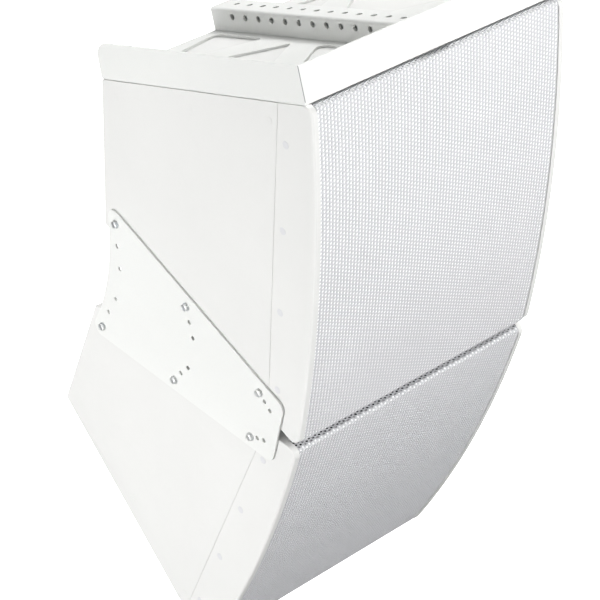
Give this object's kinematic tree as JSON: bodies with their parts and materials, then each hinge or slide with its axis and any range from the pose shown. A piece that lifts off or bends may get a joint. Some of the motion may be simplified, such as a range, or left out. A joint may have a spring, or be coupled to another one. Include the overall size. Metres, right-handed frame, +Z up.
{
  "type": "line array speaker",
  "caption": "Wedge loudspeaker cabinets hung one under the other by side link plates from a sheet steel fly frame with a pick-up beam, with curved perforated grilles.",
  "frame": {"origin": "on top of the fly beam, on its centreline, midway along its row of pick-up holes", "axes": "+Z up with the upper cabinet upright, -Y out of its front, +X to the right of someone who stands behind it"},
  "size_m": [0.7044, 0.807, 1.6302],
  "materials": {
    "cabinet_paint": "plywood under fine textured white paint",
    "sheet_steel": "smooth white powder coat on steel",
    "grille_steel": "white powder coat on perforated steel",
    "foam": "open-cell grey foam",
    "zinc": "zinc plated",
    "black_paint": "black paint on plywood",
    "black_plastic": "matt moulded",
    "driver_metal": "dark coated",
    "cast_frame": "black coated casting",
    "titanium": "thin formed metal",
    "cone_paper": "black paper",
    "surround_rubber": "matt",
    "plywood": "bare birch plywood",
    "circuit_board": "board with parts on it",
    "panel_metal": "white painted steel"
  },
  "bodies": {
    "array": {"fly_frame": "sheet_steel", "fly_beam": "sheet_steel", "frame_bolt_1": "zinc", "frame_bolt_2": "zinc", "frame_bolt_3": "zinc", "frame_bolt_4": "zinc", "link_plate_left": "sheet_steel", "link_plate_right": "sheet_steel", "link_bolt_left_1": "zinc", "link_bolt_left_2": "zinc", "link_bolt_left_3": "zinc", "link_bolt_left_4": "zinc", "link_bolt_left_5": "zinc", "link_bolt_left_6": "zinc", "link_bolt_right_1": "zinc", "link_bolt_right_2": "zinc", "link_bolt_right_3": "zinc", "link_bolt_right_4": "zinc", "link_bolt_right_5": "zinc", "link_bolt_right_6": "zinc", "upper_cabinet_shell": "cabinet_paint", "upper_cheek_left": "cabinet_paint", "upper_cheek_right": "cabinet_paint", "upper_grille": "grille_steel", "upper_grille_foam": "foam", "upper_baffle": "black_paint", "upper_horn": "black_plastic", "upper_compression_driver": "driver_metal", "upper_basket_top": "cast_frame", "upper_basket_bottom": "cast_frame", "upper_magnet_top": "driver_metal", "upper_magnet_bottom": "driver_metal", "upper_crossover_board": "circuit_board", "upper_input_panel": "panel_metal", "upper_brace": "plywood", "lower_cabinet_shell": "cabinet_paint", "lower_cheek_left": "cabinet_paint", "lower_cheek_right": "cabinet_paint", "lower_grille": "grille_steel", "lower_grille_foam": "foam", "lower_baffle": "black_paint", "lower_horn": "black_plastic", "lower_compression_driver": "driver_metal", "lower_basket_top": "cast_frame", "lower_basket_bottom": "cast_frame", "lower_magnet_top": "driver_metal", "lower_magnet_bottom": "driver_metal", "lower_crossover_board": "circuit_board", "lower_input_panel": "panel_metal", "lower_brace": "plywood"},
    "upper_woofer_top_moving": {"upper_cone_top": "cone_paper", "upper_surround_top": "surround_rubber"},
    "upper_woofer_bottom_moving": {"upper_cone_bottom": "cone_paper", "upper_surround_bottom": "surround_rubber"},
    "upper_tweeter_moving": {"upper_diaphragm": "titanium"},
    "lower_woofer_top_moving": {"lower_cone_top": "cone_paper", "lower_surround_top": "surround_rubber"},
    "lower_woofer_bottom_moving": {"lower_cone_bottom": "cone_paper", "lower_surround_bottom": "surround_rubber"},
    "lower_tweeter_moving": {"lower_diaphragm": "titanium"}
  },
  "joints": [
    {"name": "upper_woofer_top_travel", "type": "slide", "parent": "array", "child": "upper_woofer_top_moving", "axis": [0, -1, 0], "range_m": [-0.006, 0.006], "stiffness_N_per_m": 3000},
    {"name": "upper_woofer_bottom_travel", "type": "slide", "parent": "array", "child": "upper_woofer_bottom_moving", "axis": [0, -1, 0], "range_m": [-0.006, 0.006], "stiffness_N_per_m": 3000},
    {"name": "upper_tweeter_travel", "type": "slide", "parent": "array", "child": "upper_tweeter_moving", "axis": [0, -1, 0], "range_m": [-0.0005, 0.0005], "stiffness_N_per_m": 2000},
    {"name": "lower_woofer_top_travel", "type": "slide", "parent": "array", "child": "lower_woofer_top_moving", "axis": [0, -0.9397, -0.342], "range_m": [-0.006, 0.006], "stiffness_N_per_m": 3000},
    {"name": "lower_woofer_bottom_travel", "type": "slide", "parent": "array", "child": "lower_woofer_bottom_moving", "axis": [0, -0.9397, -0.342], "range_m": [-0.006, 0.006], "stiffness_N_per_m": 3000},
    {"name": "lower_tweeter_travel", "type": "slide", "parent": "array", "child": "lower_tweeter_moving", "axis": [0, -0.9397, -0.342], "range_m": [-0.0005, 0.0005], "stiffness_N_per_m": 2000}
  ]
}
